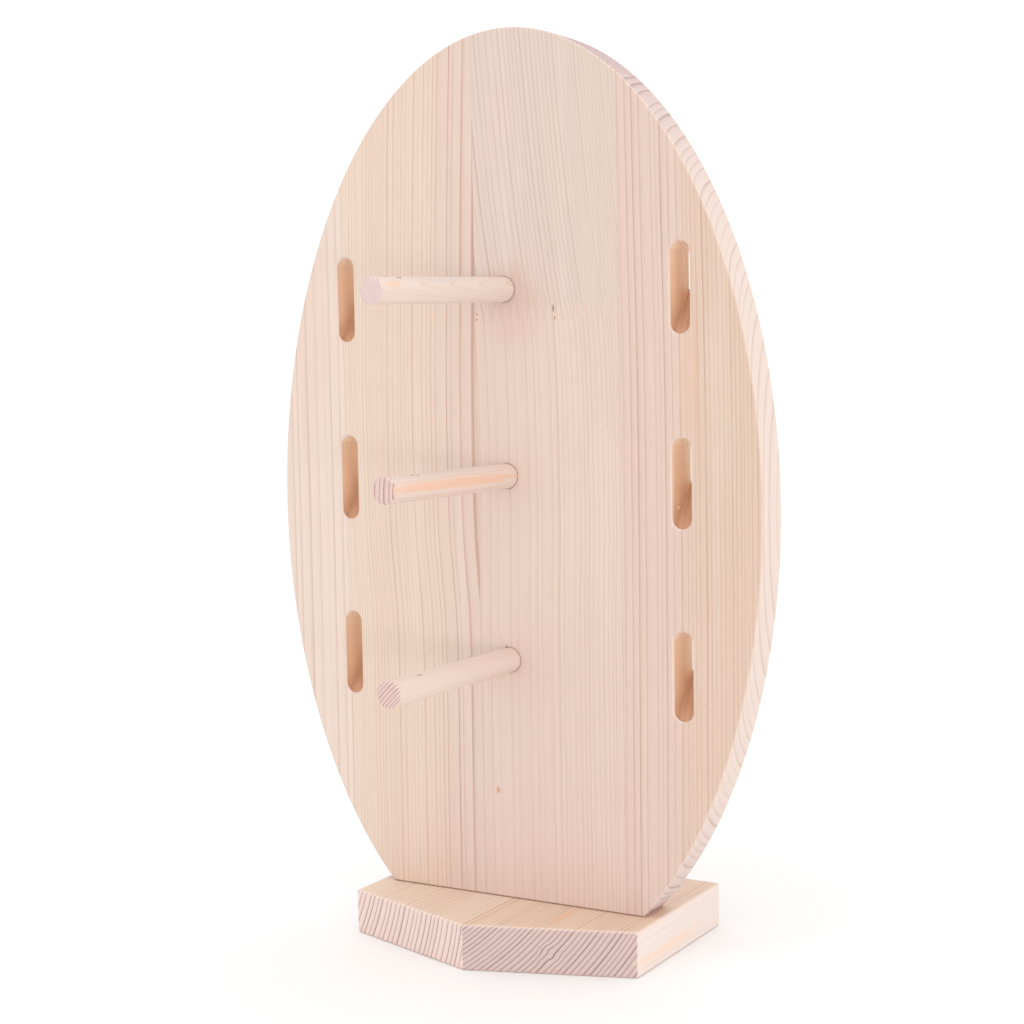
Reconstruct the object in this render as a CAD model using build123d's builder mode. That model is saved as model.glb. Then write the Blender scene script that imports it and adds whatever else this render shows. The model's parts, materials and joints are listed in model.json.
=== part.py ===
from build123d import *
import math
import os

# Pine display stand: an oval upright board on a pentagonal base, with three pegs and six ramped slots.
# Millimetres, +Z up, the front faces -Y. The origin is on the base's underside, on the centre line and in
# the upright board's middle plane. Every piece of wood that was glued or screwed on is a part of its own.

# ---- Upright board: edge-glued staves, sawn to an oval that is cut flat at its foot
board_width = 218.0
oval_length = 374.0          # the oval's long axis, before its foot is cut flat
foot_width = 115.7           # width of the flat foot that is cut across the oval
board_thickness = 18.0
board_edge_round = 0.9       # sanded edge around both faces
foot_edge_chamfer = 0.6      # eased edges where the foot stands on the base
stave_width = 64.0
middle_stave_left = -13.4    # glue line on the left of the middle stave

# ---- Finger joint that lengthens the middle stave
finger_joint_below_peg = 9.25   # from the top peg's axis down to the middle of the fingers
finger_length = 7.0
finger_count = 16
finger_blunt = 0.5           # flat at each finger's tip

# ---- Slots for the sides of spectacles, and pegs for their bridges
row_count = 3
row_pitch = 73.5
row_above_centre = 10.5      # from the oval's centre up to the middle pair of slots
slot_side_offset = 76.0      # from the centre line to each column of slots
slot_width = 8.0
slot_length = 34.5
slot_rim_chamfer = 0.6
slot_floor_setback = 1.5     # depth where the sloping floor starts, behind the front face
slot_floor_height = 17.0     # how far the floor has climbed at the back face

peg_diameter = 10.0
peg_length = 100.0
peg_tip_chamfer = 0.6
peg_above_slot = 1.75
peg_socket_depth = 13.0
peg_socket_clearance = 0.15  # on the radius, around the peg's full diameter
peg_glue_relief = 0.25       # on the radius, sanded off the end that is glued in
peg_relief_proud = 0.4       # how far that thinner end stands out of the face
top_peg_droop = 1.6          # degrees that the top peg's socket leans down and to the left
top_peg_swing = 2.4

# ---- Base: a straight back, two straight sides and a shallow point at the front
base_width = 129.0
base_thickness = 18.0
base_back = 49.0
base_side_front = -27.0      # where the sides end and the front point starts
base_point = -49.0
base_edge_round = 1.2

# ---- Countersunk wood screws, up through the base into the board's foot
screw_offset = 35.0
screw_length = 45.0
screw_shank_diameter = 4.0
screw_core_diameter = 2.8
screw_head_diameter = 8.0
screw_head_recess = 0.4      # the head sits this far inside the underside
screw_head_rim = 0.3
screw_plain_length = 18.0
screw_thread_pitch = 1.8
screw_tip_length = 4.0
screw_hole_clearance = 0.2   # on the radius, where the shank passes through the base
screw_pilot_spare = 3.0
drive_width = 0.9
drive_span = 4.4
drive_depth = 1.6

# ---- Values that follow from those above
board_front = -board_thickness / 2
foot_angle = math.degrees(math.acos(foot_width / board_width))
oval_centre_rise = oval_length / 2 * math.sin(math.radians(foot_angle))
front_face = Plane(origin=(0, board_front, base_thickness), x_dir=(1, 0, 0), z_dir=(0, -1, 0))
back_face = front_face.offset(-board_thickness)
underside = Plane(origin=(0, 0, 0), x_dir=(1, 0, 0), z_dir=(0, 0, -1))
glue_lines = [middle_stave_left - stave_width, middle_stave_left, middle_stave_left + stave_width]
row_rises = [oval_centre_rise + row_above_centre + ((row_count - 1) / 2 - row) * row_pitch
             for row in range(row_count)]
finger_joint_rise = row_rises[0] + peg_above_slot - finger_joint_below_peg
overrun = 2.0                # how far a cutter starts outside the wood it cuts


def write(piece, name):
    """Name a finished piece and write it to its own file."""
    piece.part.label = name
    export_step(piece.part, f"parts/{name}.step")


# ---- Cutters shared by the staves: one slot, one socket for each peg, one pilot hole for each screw
def slot_cutter():
    """A round-ended slot whose floor climbs from the front face's lower end to the back."""
    floor_foot = -slot_length / 2
    with BuildPart() as cutter:
        with BuildSketch(front_face.offset(overrun)):
            SlotOverall(slot_length, slot_width, rotation=90)
        extrude(amount=-board_thickness - 2 * overrun)
        for face, inward in ((front_face, -1), (back_face, 1)):
            with BuildSketch(face):
                SlotOverall(slot_length + 2 * slot_rim_chamfer, slot_width + 2 * slot_rim_chamfer, rotation=90)
            extrude(amount=inward * slot_rim_chamfer, taper=45)
        slope = slot_floor_height / (board_thickness - slot_floor_setback)
        back = board_thickness + overrun
        back_rise = floor_foot + slope * (back - slot_floor_setback)
        with BuildSketch(Plane(origin=(0, board_front, base_thickness), x_dir=(0, 1, 0), z_dir=(1, 0, 0))):
            with BuildLine():
                Polyline((slot_floor_setback, floor_foot), (back, back_rise), (back, floor_foot - overrun),
                         (slot_floor_setback, floor_foot - overrun), close=True)
            make_face()
        extrude(amount=slot_width, both=True, mode=Mode.SUBTRACT)
    return cutter.part


def foot_easing_cutter():
    """Two long three-sided strips that take the sharp edges off the board's foot."""
    with BuildPart() as cutter:
        with BuildSketch(Plane(origin=(0, 0, base_thickness), x_dir=(0, 1, 0), z_dir=(1, 0, 0))):
            for side in (-1, 1):
                with BuildLine():
                    Polyline((side * (board_thickness / 2 - foot_edge_chamfer), -overrun),
                             (side * (board_thickness / 2 - foot_edge_chamfer), 0),
                             (side * board_thickness / 2, foot_edge_chamfer),
                             (side * (board_thickness / 2 + overrun), foot_edge_chamfer),
                             (side * (board_thickness / 2 + overrun), -overrun), close=True)
                make_face()
        extrude(amount=board_width / 2, both=True)
    return cutter.part


def peg_plane(row):
    """The plane where a peg leaves the front face, facing along the peg."""
    droop = math.radians(top_peg_droop if row == 0 else 0.0)
    swing = math.radians(top_peg_swing if row == 0 else 0.0)
    along = (-math.sin(swing), -math.cos(swing) * math.cos(droop), -math.sin(droop))
    root = (0, board_front, base_thickness + row_rises[row] + peg_above_slot)
    return Plane(origin=root, x_dir=(1, 0, 0), z_dir=along)


def socket_cutter(row):
    """The blind hole that a peg is glued into."""
    with BuildPart() as cutter:
        with BuildSketch(peg_plane(row).offset(-peg_socket_depth)):
            Circle(peg_diameter / 2 + peg_socket_clearance)
        extrude(amount=peg_socket_depth + overrun)
    return cutter.part


def pilot_cutter(side):
    """The pilot hole in the board's foot that a screw's thread bites into."""
    depth = screw_length + screw_head_recess - base_thickness + screw_pilot_spare
    with BuildPart() as cutter:
        with BuildSketch(Plane.XY.offset(base_thickness - overrun)):
            with Locations((side * screw_offset, 0)):
                Circle(screw_core_diameter / 2)
        extrude(amount=depth + overrun)
    return cutter.part


def finger_line():
    """Corner points of the finger joint's zigzag, from left to right in the front face's plane."""
    pitch = stave_width / finger_count
    low = finger_joint_rise - finger_length / 2
    high = finger_joint_rise + finger_length / 2
    points = [(middle_stave_left, low)]
    for finger in range(finger_count):
        start = middle_stave_left + finger * pitch
        points.append((start + finger_blunt / 2, low))
        points.append((start + pitch / 2 - finger_blunt / 2, high))
        points.append((start + pitch / 2 + finger_blunt / 2, high))
        points.append((start + pitch - finger_blunt / 2, low))
    points.append((middle_stave_left + stave_width, low))
    return points


# ---- The staves
def stave(name, left, right, end_rise=None):
    """One stave between two glue lines; end_rise is the side that a finger-jointed piece runs to."""
    with BuildPart() as piece:
        with BuildSketch(front_face):
            with BuildLine():
                sawn = EllipticalCenterArc((0, oval_centre_rise), board_width / 2, oval_length / 2,
                                           start_angle=-foot_angle, arc_size=180 + 2 * foot_angle)
                Line(sawn @ 1, sawn @ 0)
            make_face()
            with Locations((left, 0)):
                Rectangle(right - left, oval_length, align=(Align.MIN, Align.MIN), mode=Mode.INTERSECT)
            if end_rise is not None:
                with BuildLine():
                    Polyline(*finger_line(), (right, end_rise), (left, end_rise), close=True)
                make_face(mode=Mode.INTERSECT)
        extrude(amount=-board_thickness)

        sawn_edges = piece.edges().filter_by(GeomType.ELLIPSE)
        if sawn_edges:
            fillet(sawn_edges, board_edge_round)
        add(foot_easing, mode=Mode.SUBTRACT)
        for rise in row_rises:
            for side in (-1, 1):
                add(slot_void.moved(Location((side * slot_side_offset, 0, rise))), mode=Mode.SUBTRACT)
        for row in range(row_count):
            add(socket_cutter(row), mode=Mode.SUBTRACT)
        for side in (-1, 1):
            add(pilot_cutter(side), mode=Mode.SUBTRACT)
    write(piece, name)


os.makedirs("parts", exist_ok=True)
slot_void = slot_cutter()
foot_easing = foot_easing_cutter()
stave("outer_left_stave", -board_width, glue_lines[0])
stave("left_stave", glue_lines[0], glue_lines[1])
stave("middle_stave_upper", glue_lines[1], glue_lines[2], oval_length)
stave("middle_stave_lower", glue_lines[1], glue_lines[2], 0)
stave("right_stave", glue_lines[2], board_width)


# ---- The pegs: dowels with a chamfered tip and a slightly thinner end that is glued in
peg_names = ["top_peg", "middle_peg", "bottom_peg"]
for row, name in enumerate(peg_names):
    root_plane = peg_plane(row)
    with BuildPart() as peg:
        with BuildSketch(root_plane.offset(-peg_socket_depth)):
            Circle(peg_diameter / 2 - peg_glue_relief)
        extrude(amount=peg_socket_depth + peg_relief_proud)
        with BuildSketch(root_plane.offset(peg_relief_proud)):
            Circle(peg_diameter / 2)
        extrude(amount=peg_length - peg_socket_depth - peg_relief_proud)
        tip_rim = peg.edges().filter_by(GeomType.CIRCLE).sort_by(Axis.Y)[0]
        chamfer(tip_rim, peg_tip_chamfer)
    write(peg, name)


# ---- The base: two boards glued edge to edge on the centre line
for side, name in ((-1, "base_left_stave"), (1, "base_right_stave")):
    half = side * base_width / 2
    with BuildPart() as base_half:
        with BuildSketch(Plane.XY):
            with BuildLine():
                Polyline((0, base_point), (half, base_side_front), (half, base_back), (0, base_back), close=True)
            make_face()
        extrude(amount=base_thickness)
        outer_edges = base_half.edges().filter_by(lambda edge: abs(edge.center().X) > base_edge_round)
        fillet(outer_edges, base_edge_round)
        with Locations(underside.location * Location((side * screw_offset, 0, 0))):
            CounterSinkHole(screw_shank_diameter / 2 + screw_hole_clearance,
                            screw_head_diameter / 2 + screw_head_recess, depth=base_thickness)
    write(base_half, name)


# ---- The screws: a countersunk head, a plain shank, and a threaded end drawn as rings of the same pitch
def screw_profile():
    """Half section of a screw as (radius, height), from the head's face up to the point."""
    head_radius = screw_head_diameter / 2
    shank_radius = screw_shank_diameter / 2
    core_radius = screw_core_diameter / 2
    head_top = screw_head_recess + head_radius - shank_radius
    tip_start = screw_head_recess + screw_length - screw_tip_length
    points = [(0, screw_head_recess), (head_radius - screw_head_rim, screw_head_recess)]
    points += [(head_radius - screw_head_rim, screw_head_recess + screw_head_rim), (shank_radius, head_top)]
    height = screw_head_recess + screw_plain_length
    points.append((shank_radius, height))
    while height + screw_thread_pitch < tip_start:
        points.append((core_radius, height + screw_thread_pitch / 4))
        points.append((core_radius, height + screw_thread_pitch * 3 / 4))
        points.append((shank_radius, height + screw_thread_pitch))
        height += screw_thread_pitch
    points += [(core_radius, tip_start), (0, tip_start + screw_tip_length)]
    return points


for side, name in ((-1, "left_screw"), (1, "right_screw")):
    screw_x = side * screw_offset
    with BuildPart() as screw:
        with BuildSketch(Plane(origin=(screw_x, 0, 0), x_dir=(1, 0, 0), z_dir=(0, -1, 0))):
            with BuildLine():
                Polyline(*screw_profile(), close=True)
            make_face()
        revolve(axis=Axis((screw_x, 0, 0), (0, 0, 1)))
        with BuildSketch(Plane(origin=(screw_x, 0, screw_head_recess), x_dir=(1, 0, 0), z_dir=(0, 0, 1))):
            Rectangle(drive_span, drive_width)
            Rectangle(drive_width, drive_span)
        extrude(amount=drive_depth, taper=8, mode=Mode.SUBTRACT)
    write(screw, name)
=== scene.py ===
# %% [markdown]
# # A pine display stand
# An oval board, glued up from staves of pine, stands upright on a base with a shallow point at its front.
# Three dowels stick out of the board, and six slots with sloping floors are cut in it. The shapes with real
# sizes come from the imported model, so this lesson spends its effort on what makes bare, sanded pine look
# like pine. The first step loads that model and keeps its box.

import json
import math

import bpy
from mathutils import Matrix, Vector

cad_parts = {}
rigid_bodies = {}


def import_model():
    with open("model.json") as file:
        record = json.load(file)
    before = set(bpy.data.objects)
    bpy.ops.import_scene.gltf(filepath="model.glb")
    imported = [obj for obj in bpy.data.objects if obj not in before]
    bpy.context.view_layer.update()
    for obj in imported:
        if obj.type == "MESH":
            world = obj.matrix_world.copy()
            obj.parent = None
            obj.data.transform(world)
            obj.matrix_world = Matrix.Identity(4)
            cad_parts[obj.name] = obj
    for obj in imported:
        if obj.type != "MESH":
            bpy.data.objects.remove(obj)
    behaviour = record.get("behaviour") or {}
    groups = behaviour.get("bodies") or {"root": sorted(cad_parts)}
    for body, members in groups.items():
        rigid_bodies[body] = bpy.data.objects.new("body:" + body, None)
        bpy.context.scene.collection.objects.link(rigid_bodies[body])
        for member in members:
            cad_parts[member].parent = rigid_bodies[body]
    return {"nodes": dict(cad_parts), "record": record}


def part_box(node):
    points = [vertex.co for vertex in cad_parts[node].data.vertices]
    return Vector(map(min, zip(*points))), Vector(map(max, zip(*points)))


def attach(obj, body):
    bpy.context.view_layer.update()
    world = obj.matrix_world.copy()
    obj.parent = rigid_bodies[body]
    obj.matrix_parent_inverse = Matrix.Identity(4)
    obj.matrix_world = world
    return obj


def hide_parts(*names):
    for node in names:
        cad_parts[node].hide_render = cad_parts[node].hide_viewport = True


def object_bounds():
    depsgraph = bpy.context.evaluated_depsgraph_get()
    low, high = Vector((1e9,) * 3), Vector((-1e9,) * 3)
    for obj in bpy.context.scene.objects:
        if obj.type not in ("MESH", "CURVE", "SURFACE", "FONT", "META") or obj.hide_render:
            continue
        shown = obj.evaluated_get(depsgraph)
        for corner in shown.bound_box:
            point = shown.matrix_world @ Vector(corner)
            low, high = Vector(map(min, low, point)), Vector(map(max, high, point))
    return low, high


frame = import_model()
cad_low, cad_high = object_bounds()
MM = 0.001
print("nodes:", ", ".join(sorted(frame["nodes"])))
print("box in mm:", [round(v / MM, 1) for v in (*cad_low, *cad_high)])

# %% [markdown]
# Every finish below is a node material. Its colours are written as on a paint chip, from 0 to 255, because
# that is how they are picked, and then turned into the linear values that light uses.

# %% A colour from a paint chip
def chip(red, green, blue):
    """A paint-chip colour as the linear colour that a shader expects."""
    def linear(value):
        value /= 255
        return value / 12.92 if value <= 0.04045 else ((value + 0.055) / 1.055) ** 2.4
    return (linear(red), linear(green), linear(blue), 1.0)


print("raw pine chip in linear light:", [round(v, 3) for v in chip(226, 190, 160)])

# %% [markdown]
# Each recipe needs the same few moves: add a node, and plug a socket or write a number into it. The nodes
# could be wired one by one, as by hand in the node editor, but short helpers keep a long sum readable.

# %% Plugs and sums
def feed(tree, socket, value):
    """Link a socket to another socket, or write a plain value into it."""
    if isinstance(value, bpy.types.NodeSocket):
        tree.links.new(value, socket)
    else:
        socket.default_value = value


def maths(tree, operation, *values, clamp=False):
    """One Math node."""
    made = tree.nodes.new("ShaderNodeMath")
    made.operation = operation
    made.use_clamp = clamp
    for socket, value in zip(made.inputs, values):
        feed(tree, socket, value)
    return made.outputs[0]


def vector_maths(tree, operation, *values, output=0):
    """One Vector Math node; output 1 is the plain number of a length or a distance."""
    made = tree.nodes.new("ShaderNodeVectorMath")
    made.operation = operation
    for socket, value in zip(made.inputs, values):
        feed(tree, socket, value)
    return made.outputs[output]


def split(tree, vector):
    """The x, y and z sockets of a vector."""
    made = tree.nodes.new("ShaderNodeSeparateXYZ")
    tree.links.new(vector, made.inputs[0])
    return made.outputs


print("sums ready:", ", ".join(helper.__name__ for helper in (feed, maths, vector_maths, split)))

# %% [markdown]
# The other helpers turn one value into another, or into a colour. A fade is a soft step, for the edge of a
# mark. A straight scale changes the range of a noise, and a ramp follows any profile.

# %% Fades, ramps and blends
MIX_FACTOR, MIX_FIRST, MIX_SECOND, MIX_RESULT = 0, 6, 7, 2


def fade(tree, value, start, end, low=0.0, high=1.0):
    """A smooth step from low to high while value goes from start to end."""
    made = tree.nodes.new("ShaderNodeMapRange")
    made.interpolation_type = "SMOOTHSTEP"
    for socket, number in zip(made.inputs, (value, start, end, low, high)):
        feed(tree, socket, number)
    return made.outputs[0]


def scale_to(tree, value, start, end, low, high):
    """A straight line from low to high, clamped at both ends."""
    made = tree.nodes.new("ShaderNodeMapRange")
    for socket, number in zip(made.inputs, (value, start, end, low, high)):
        feed(tree, socket, number)
    return made.outputs[0]


def ramp(tree, value, stops):
    """A Color Ramp; each stop is (position, grey value)."""
    made = tree.nodes.new("ShaderNodeValToRGB")
    elements = made.color_ramp.elements
    while len(elements) < len(stops):
        elements.new(0.5)
    for element, (position, grey) in zip(elements, stops):
        element.position = position
        element.color = (grey, grey, grey, 1.0)
    feed(tree, made.inputs[0], value)
    return made.outputs[0]


def blend_colours(tree, amount, first, second, mode="MIX"):
    """One Mix node for colours, whose colour plugs come after those for numbers and vectors."""
    made = tree.nodes.new("ShaderNodeMix")
    made.data_type = "RGBA"
    made.blend_type = mode
    feed(tree, made.inputs[MIX_FACTOR], amount)
    feed(tree, made.inputs[MIX_FIRST], first)
    feed(tree, made.inputs[MIX_SECOND], second)
    return made.outputs[MIX_RESULT]


print("changes ready:", ", ".join(helper.__name__ for helper in (fade, scale_to, ramp, blend_colours)))

# %% [markdown]
# Pine is a solid with a pattern inside, so the pattern is solid too. A ring is a thin-walled cone round
# the tree's pith, and a sawn face only shows where it cuts those cones. The recipe therefore works out,
# for every point of a board, how far it is from that board's own pith, and how many years of growth lie
# in between. The face, the rim, the slots and the end grain then agree at every corner, which a flat
# picture wrapped round the board can't do.
# Object coordinates are used, because they are in the shape's own metres and don't stretch.

# %% The grain's own space
def grain_space(tree, lies_down):
    """The point in millimetres, turned so that the grain runs along Z."""
    place = tree.nodes.new("ShaderNodeTexCoord")
    turned = tree.nodes.new("ShaderNodeMapping")
    turned.inputs["Rotation"].default_value = (math.pi / 2 if lies_down else 0.0, 0.0, 0.0)
    turned.inputs["Scale"].default_value = (1 / MM, 1 / MM, 1 / MM)
    tree.links.new(place.outputs["Object"], turned.inputs["Vector"])
    return turned.outputs[0]


print("the grain of the base and the pegs is turned by", math.degrees(math.pi / 2), "degrees")

# %% [markdown]
# Wood is full of long thin marks, so its noise is drawn out along the grain: fibres half a millimetre wide
# and centimetres long, bands longer than a hand. One table holds the size of each sort of mark. Every board
# shifts them all by its own seed, so that no two boards carry the same marks.

# %% Noise along the grain
SEED_STEPS = (1.0, 1.7, 0.6)
GRAIN_NOISE = {  # mm across the grain, mm along it, a seed of its own, detail
    "wander": (45.0, 130.0, 0.0, 1.0),
    "churn": (4.5, 60.0, 2.2, 1.0),
    "fading": (5.0, 90.0, 7.7, 2.0),
    "fibre": (0.45, 28.0, 11.3, 3.0),
    "dashes": (0.35, 9.0, 17.9, 1.0),
    "bands": (7.0, 420.0, 23.1, 2.0),
    "patches": (26.0, 140.0, 29.3, 2.0),
    "speckle": (0.6, 0.6, 31.7, 3.0),
    "rubbing": (2.5, 6.0, 37.1, 2.0),
    "glue": (50.0, 30.0, 43.9, 2.0),
    "fuzz": (0.7, 3.0, 53.0, 2.0),
}


def streaks(tree, point, across, along, seed, detail=2.0):
    """Noise drawn out along the grain: its marks are `across` mm wide and `along` mm long."""
    squeezed = vector_maths(tree, "MULTIPLY", point, (1 / across, 1 / across, 1 / along))
    made = tree.nodes.new("ShaderNodeTexNoise")
    made.inputs["Scale"].default_value = 1.0
    made.inputs["Detail"].default_value = detail
    shift = tuple(seed * step for step in SEED_STEPS)
    tree.links.new(vector_maths(tree, "ADD", squeezed, shift), made.inputs["Vector"])
    return made.outputs[0]


def grain_noise(tree, point, kind, seed):
    """One sort of mark from the table, shifted by the board's seed."""
    across, along, own_seed, detail = GRAIN_NOISE[kind]
    return streaks(tree, point, across, along, seed + own_seed, detail)


finest = min(sizes[0] for sizes in GRAIN_NOISE.values())
print(len(GRAIN_NOISE), "sorts of marks, the finest", finest, "mm wide")

# %% [markdown]
# The distance from the pith is a plain length, once the tree's own bends are taken out. A trunk is never
# straight, so each board may have a drift: how far the rings lean over at some heights, joined by a smooth
# Float Curve. A slow noise makes the rest wander, and a swirl beside a knot pushes the rings about.

# %% Distance from the pith
WANDER = 0.6
CHURN_MIDDLE = 0.4
SWIRL_MOST = 2.0


def table_curve(tree, value, table, handle):
    """A Float Curve through (input, output) pairs, in their own units."""
    ins, outs = zip(*table)
    low, high = min(outs), max(outs)
    curve = tree.nodes.new("ShaderNodeFloatCurve")
    points = curve.mapping.curves[0].points
    while len(points) < len(table):
        points.new(0.5, 0.5)
    for point, (given, wanted) in zip(points, table):
        point.location = ((given - ins[0]) / (ins[-1] - ins[0]), (wanted - low) / (high - low))
        point.handle_type = handle
    curve.mapping.update()
    feed(tree, curve.inputs["Value"], scale_to(tree, value, ins[0], ins[-1], low=0.0, high=1.0))
    return scale_to(tree, curve.outputs[0], 0.0, 1.0, low, high)


def stir(tree, point, distance, board):
    """Push the rings about near a swirl, which runs along the grain at one place."""
    swirl = board["swirl"]
    flat = vector_maths(tree, "MULTIPLY", point, (1.0, 1.0, 0.0))
    away = vector_maths(tree, "DISTANCE", flat, (*swirl["place"], 0.0), output=1)
    churn = maths(tree, "SUBTRACT", grain_noise(tree, point, "churn", board["seed"]), CHURN_MIDDLE)
    near = fade(tree, away, swirl["reach"], 0.0, high=SWIRL_MOST)
    return maths(tree, "MULTIPLY_ADD", churn, maths(tree, "MULTIPLY", near, swirl["push"]), distance)


def pith_distance(tree, point, board):
    """Distance from the pith in mm, after the tree's own bends are taken out."""
    x, y, z = split(tree, point)
    if board["drift"]:
        x = maths(tree, "SUBTRACT", x, table_curve(tree, z, board["drift"], "AUTO"))
    wander = grain_noise(tree, point, "wander", board["seed"])
    x = maths(tree, "ADD", x, scale_to(tree, wander, 0.0, 1.0, low=-WANDER, high=WANDER))
    pith_x, pith_y = board["pith"]
    offset = tree.nodes.new("ShaderNodeCombineXYZ")
    tree.links.new(maths(tree, "SUBTRACT", x, pith_x), offset.inputs[0])
    tree.links.new(maths(tree, "SUBTRACT", y, pith_y), offset.inputs[1])
    distance = vector_maths(tree, "LENGTH", offset.outputs[0], output=1)
    return stir(tree, point, distance, board) if board["swirl"] else distance


print("distance from the pith ready; rings wander by up to", WANDER, "mm")

# %% [markdown]
# A tree doesn't grow by the same amount each year. Near a young pith the rings are 3 to 5 mm wide, and in
# old wood they are under 2 mm. A Float Curve turns distance into years: its slope is the number of rings
# per millimetre. Each board gets a short list of ring widths, measured across its front face.

# %% Years of growth
RING_MARGIN = 26.0


def growth_table(board):
    """Turn a board's pairs of (place across the face, ring width) into (distance from the pith, years)."""
    widths = board["ring_widths"]
    pith_x, pith_y = board["pith"]
    places = [widths[0][0] - RING_MARGIN, *(place for place, _ in widths), widths[-1][0] + RING_MARGIN]
    rings = [widths[0][1], *(width for _, width in widths), widths[-1][1]]
    steps = []
    years = 0.0
    for i, place in enumerate(places):
        if i:
            years += (place - places[i - 1]) / ((rings[i] + rings[i - 1]) / 2)
        steps.append((math.hypot(place - pith_x, board["face"] - pith_y), years))
    if steps[0][0] > steps[-1][0]:
        steps = [(reach, years - count) for reach, count in reversed(steps)]
    return steps


example = growth_table({"ring_widths": [(0.0, 2.0), (20.0, 2.0)], "pith": (-100.0, 0.0), "face": 0.0})
(near_pith, _), (far_out, ring_count) = example[0], example[-1]
print("an evenly grown board of 2 mm rings:", ring_count, "rings from", near_pith, "to", far_out, "mm")

# %% [markdown]
# Small faults are what make wood honest: a pin knot, a resin streak, a torn spot beside a joint, the thin
# line of a glue seam. Each is painted by distance from one point or line, with its outline roughened by
# noise, so that it sits in the solid just as the rings do.

# %% Knots, streaks and seams
# dark brown of the glue seams, also used for the painted contact shadows
SEAM_AND_CONTACT_SHADOW = chip(160, 118, 96)
SEAM_EDGE, SEAM_CORE = 0.28, 0.1
SEAM_STRENGTH = 0.4
RAG_WIDTH, RAG_SEED = 0.8, 41.3
RAG = 0.35


def spot(tree, point, colour, mark, seed):
    """Paint one mark: a ragged ellipsoid of `reach` mm round `place`, whose edge frays over `run` mm."""
    offset = vector_maths(tree, "SUBTRACT", point, mark["place"])
    offset = vector_maths(tree, "DIVIDE", offset, mark["reach"])
    away = vector_maths(tree, "LENGTH", offset, output=1)
    ragged = streaks(tree, point, RAG_WIDTH, mark["run"], seed + RAG_SEED)
    away = maths(tree, "ADD", away, scale_to(tree, ragged, 0.2, 0.8, low=-RAG, high=RAG))
    amount = fade(tree, away, start=1.1, end=0.5, high=mark["strength"])
    return blend_colours(tree, amount, colour, mark["colour"])


def seam(tree, point, colour, place, seed):
    """Darken a hair-thin line where two boards are glued at x = `place` mm."""
    away = maths(tree, "ABSOLUTE", maths(tree, "SUBTRACT", split(tree, point)[0], place))
    patchy = scale_to(tree, grain_noise(tree, point, "glue", seed), 0.35, 0.65, low=0.0, high=SEAM_STRENGTH)
    amount = maths(tree, "MULTIPLY", fade(tree, away, SEAM_EDGE, SEAM_CORE), patchy)
    return blend_colours(tree, amount, colour, SEAM_AND_CONTACT_SHADOW)


print("marks ready; a glue line is", 2 * SEAM_EDGE, "mm wide")

# %% [markdown]
# The slots are cut with a router. Their walls are painted a deeper, more orange tone than the sanded faces:
# painted shade and warm bounce light of the narrow recess. A second material could be given to the wall
# faces, but the imported model is loose triangles, and its faces aren't sorted. The slots' places are in
# the record, as openings, so the recipe works out from those whether a point lies in a slot.

# %% Inside the slots
FACE_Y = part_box("left_stave")[0].y / MM
openings = {opening["name"]: opening["box_m"] for opening in frame["record"]["physics"]["openings"]}
(slot_left, _, SLOT_MIDDLE), (slot_right, _, _) = [
    [v / MM for v in corner] for corner in openings["right_middle_slot_through"]]
SLOT_SIDE = (slot_left + slot_right) / 2
SLOT_PITCH = openings["right_top_slot_through"][0][2] / MM - SLOT_MIDDLE
SLOT_HALF_WIDTH = 4.0
SLOT_HALF_LENGTH = 17.25
SLOT_RIM = 0.6
WALL_FADE = 0.6
WALL_GROW = 0.1
print("slots at x = +-", round(SLOT_SIDE, 1), "mm, rows", round(SLOT_PITCH, 1), "mm apart round",
      round(SLOT_MIDDLE, 1))


def slot_place(tree, point):
    """Distances from the nearest slot's middle: sideways, up along the slot, and up from the middle row."""
    x, _, z = split(tree, point)
    sideways = maths(tree, "ABSOLUTE", maths(tree, "SUBTRACT", maths(tree, "ABSOLUTE", x), SLOT_SIDE))
    rise = maths(tree, "SUBTRACT", z, SLOT_MIDDLE)
    return sideways, maths(tree, "WRAP", rise, SLOT_PITCH / 2, -SLOT_PITCH / 2), rise


def slot_outline(tree, point, grow):
    """1 within the outline of any slot, widened by `grow` mm, at any depth."""
    sideways, upward, rise = slot_place(tree, point)
    inside = maths(tree, "LESS_THAN", sideways, SLOT_HALF_WIDTH + grow)
    for distance, reach in ((upward, 0.0), (rise, SLOT_PITCH)):
        near = maths(tree, "LESS_THAN", maths(tree, "ABSOLUTE", distance), reach + SLOT_HALF_LENGTH + grow)
        inside = maths(tree, "MULTIPLY", inside, near)
    return inside


def slot_walls(tree, point):
    """1 on the walls and floors inside the slots, 0 on the board's outer faces and the slots' eased rims."""
    deep = maths(tree, "ABSOLUTE", split(tree, point)[1])
    below_rim = fade(tree, deep, -FACE_Y - SLOT_RIM, -FACE_Y - SLOT_RIM - WALL_FADE)
    return maths(tree, "MULTIPLY", slot_outline(tree, point, WALL_GROW), below_rim)


# %% [markdown]
# One ring has two parts. The pale, soft early wood of spring slowly darkens to a thin, hard, orange-brown
# line of late wood, which stops dead where the next spring starts. The whole part of the years says which
# ring a point is in, and the fraction says how far into that year. A random number for each year makes some
# lines faint and some strong, as wet and dry summers do.
# All patterns are gathered in one dictionary, because the colours and the relief need the same ones.

# %% Which year, and which season
UNEVEN_SCALE = 0.12
UNEVEN_STEP = 40.0


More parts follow.
